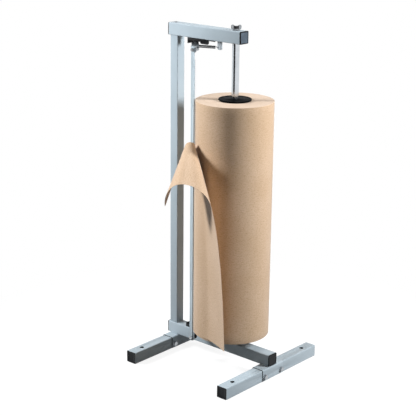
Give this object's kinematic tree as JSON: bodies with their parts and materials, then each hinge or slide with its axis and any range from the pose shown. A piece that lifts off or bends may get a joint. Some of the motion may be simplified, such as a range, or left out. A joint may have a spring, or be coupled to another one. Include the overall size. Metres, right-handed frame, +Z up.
{
  "type": "gift wrap paper cutter",
  "caption": "Floor-standing paper cutter: square-tube stand, upright paper roll on a shaft, and a sprung swing arm with a serrated blade that rests on the paper",
  "frame": {"origin": "on the floor, centre of the four floor-screw holes in the two feet", "axes": "+Z up; +X along the base beam from the post toward the shaft; +Y along the feet, away from the cutter bar"},
  "size_m": [0.4437, 0.4863, 1.0879],
  "materials": {
    "frame_paint": "light silver-grey powder coat, satin, fine texture",
    "zinc_hardware": "bright zinc plate",
    "cap_plastic": "black moulded plastic, satin",
    "shaft_steel": "bright plated bar, fine drawn grain along its length",
    "plain_steel": "turned steel, light oil",
    "black_steel": "black oxide, satin",
    "spring_steel": "black oiled spring wire",
    "lever_steel": "light grey paint over pressed steel",
    "bar_paint": "light grey paint, satin",
    "blade_steel": "bare hardened steel strip",
    "bumper_rubber": "moulded black rubber",
    "kraft_paper": "uncoated brown kraft paper, fine fibre and faint lengthwise grain",
    "core_board": "spiral-wound grey-brown board",
    "plug_plastic": "black moulded plastic, semi-gloss"
  },
  "bodies": {
    "frame": {"base_beam": "frame_paint", "post": "frame_paint", "top_arm": "frame_paint", "front_foot": "frame_paint", "rear_foot": "frame_paint", "front_saddle": "frame_paint", "rear_saddle": "frame_paint", "saddle_bolts": "zinc_hardware", "saddle_nuts": "zinc_hardware", "weld_beads": "frame_paint", "beam_front_cap": "cap_plastic", "beam_rear_cap": "cap_plastic", "arm_front_cap": "cap_plastic", "arm_rear_cap": "cap_plastic", "front_foot_caps": "cap_plastic", "rear_foot_caps": "cap_plastic", "arm_screw": "zinc_hardware", "shaft": "shaft_steel", "shaft_base_bolt": "zinc_hardware", "thrust_collar": "plain_steel", "collar_set_screw": "black_steel", "thrust_washer": "plain_steel", "arm_washer": "zinc_hardware", "upper_bracket": "black_steel", "lower_bracket": "black_steel", "bracket_screws": "black_steel", "upper_pivot_bolt": "zinc_hardware", "lower_pivot_bolt": "zinc_hardware", "pivot_nuts": "zinc_hardware", "pivot_spacers": "zinc_hardware", "upper_spring_anchor": "lever_steel", "lower_spring_anchor": "lever_steel", "upper_spring": "spring_steel", "lower_spring": "spring_steel", "paper_sheet": "kraft_paper"},
    "roll": {"paper_roll": "kraft_paper", "roll_core": "core_board", "top_core_plug": "plug_plastic", "bottom_core_plug": "plug_plastic"},
    "cutter": {"cutter_bar": "bar_paint", "serrated_blade": "blade_steel", "blade_rivets": "zinc_hardware", "upper_lever": "lever_steel", "lower_lever": "lever_steel", "spring_pins": "zinc_hardware", "upper_bar_bolt": "zinc_hardware", "lower_bar_bolt": "black_steel", "coupling_nut": "zinc_hardware", "rubber_bumper": "bumper_rubber"},
    "wing": {"wing_nut": "zinc_hardware"}
  },
  "joints": [
    {"name": "roll_spin", "type": "hinge", "parent": "frame", "child": "roll", "pos_m": [0.0385, 0, 0.112], "axis": [0, 0, 1], "continuous": true},
    {"name": "cutter_swing", "type": "hinge", "parent": "frame", "child": "cutter", "pos_m": [-0.1255, 0, 0.5], "axis": [0, 0, 1], "range_deg": [-50, 0], "stiffness_Nm_per_rad": 1.1, "springref_deg": 34.38, "deforming": ["upper_spring", "lower_spring"]},
    {"name": "wing_nut_turn", "type": "hinge", "parent": "frame", "child": "wing", "pos_m": [0.0385, 0, 1.072], "axis": [0, 0, 1], "continuous": true}
  ]
}
